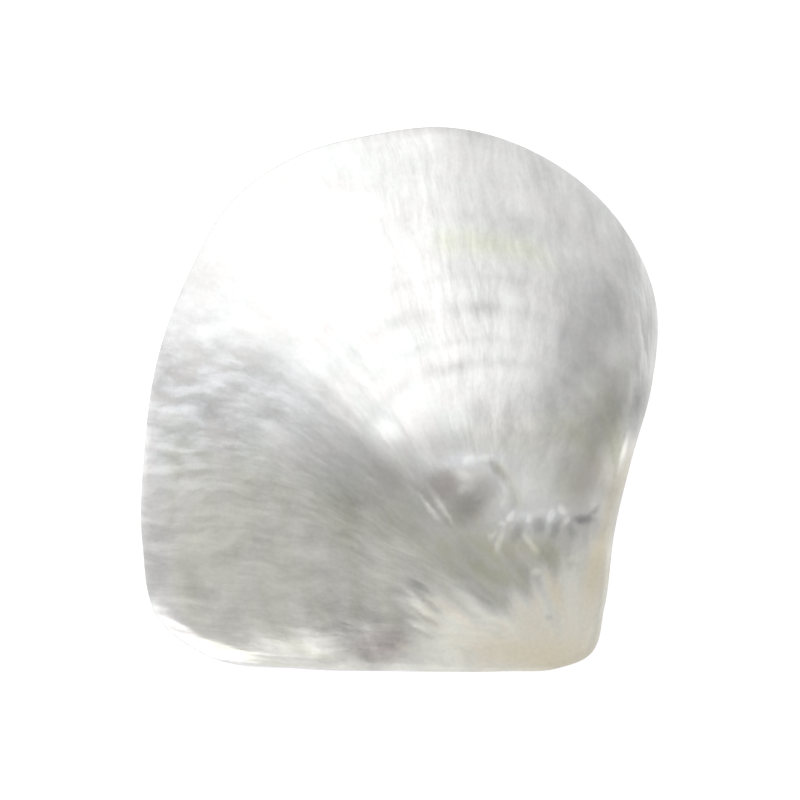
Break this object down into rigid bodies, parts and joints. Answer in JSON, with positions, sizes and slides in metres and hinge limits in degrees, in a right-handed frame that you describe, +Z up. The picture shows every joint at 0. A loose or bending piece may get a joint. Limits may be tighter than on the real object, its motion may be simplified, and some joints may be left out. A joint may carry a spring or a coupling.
{
  "type": "polished mother-of-pearl shell",
  "caption": "Polished mother-of-pearl shell: one domed, hollow valve of a silver-lip pearl oyster with a straight hinge side, lying hollow side down.",
  "frame": {"origin": "centre of the bounding box's base, on the plane that the valve's margin rests on", "axes": "+Y away from the straight hinge line towards the free margin, +Z up out of the domed outer face, +X towards the byssal notch"},
  "size_m": [0.1424, 0.1501, 0.0269],
  "materials": {
    "nacre": "polished"
  },
  "bodies": {
    "root": {"valve": "nacre"}
  },
  "joints": []
}
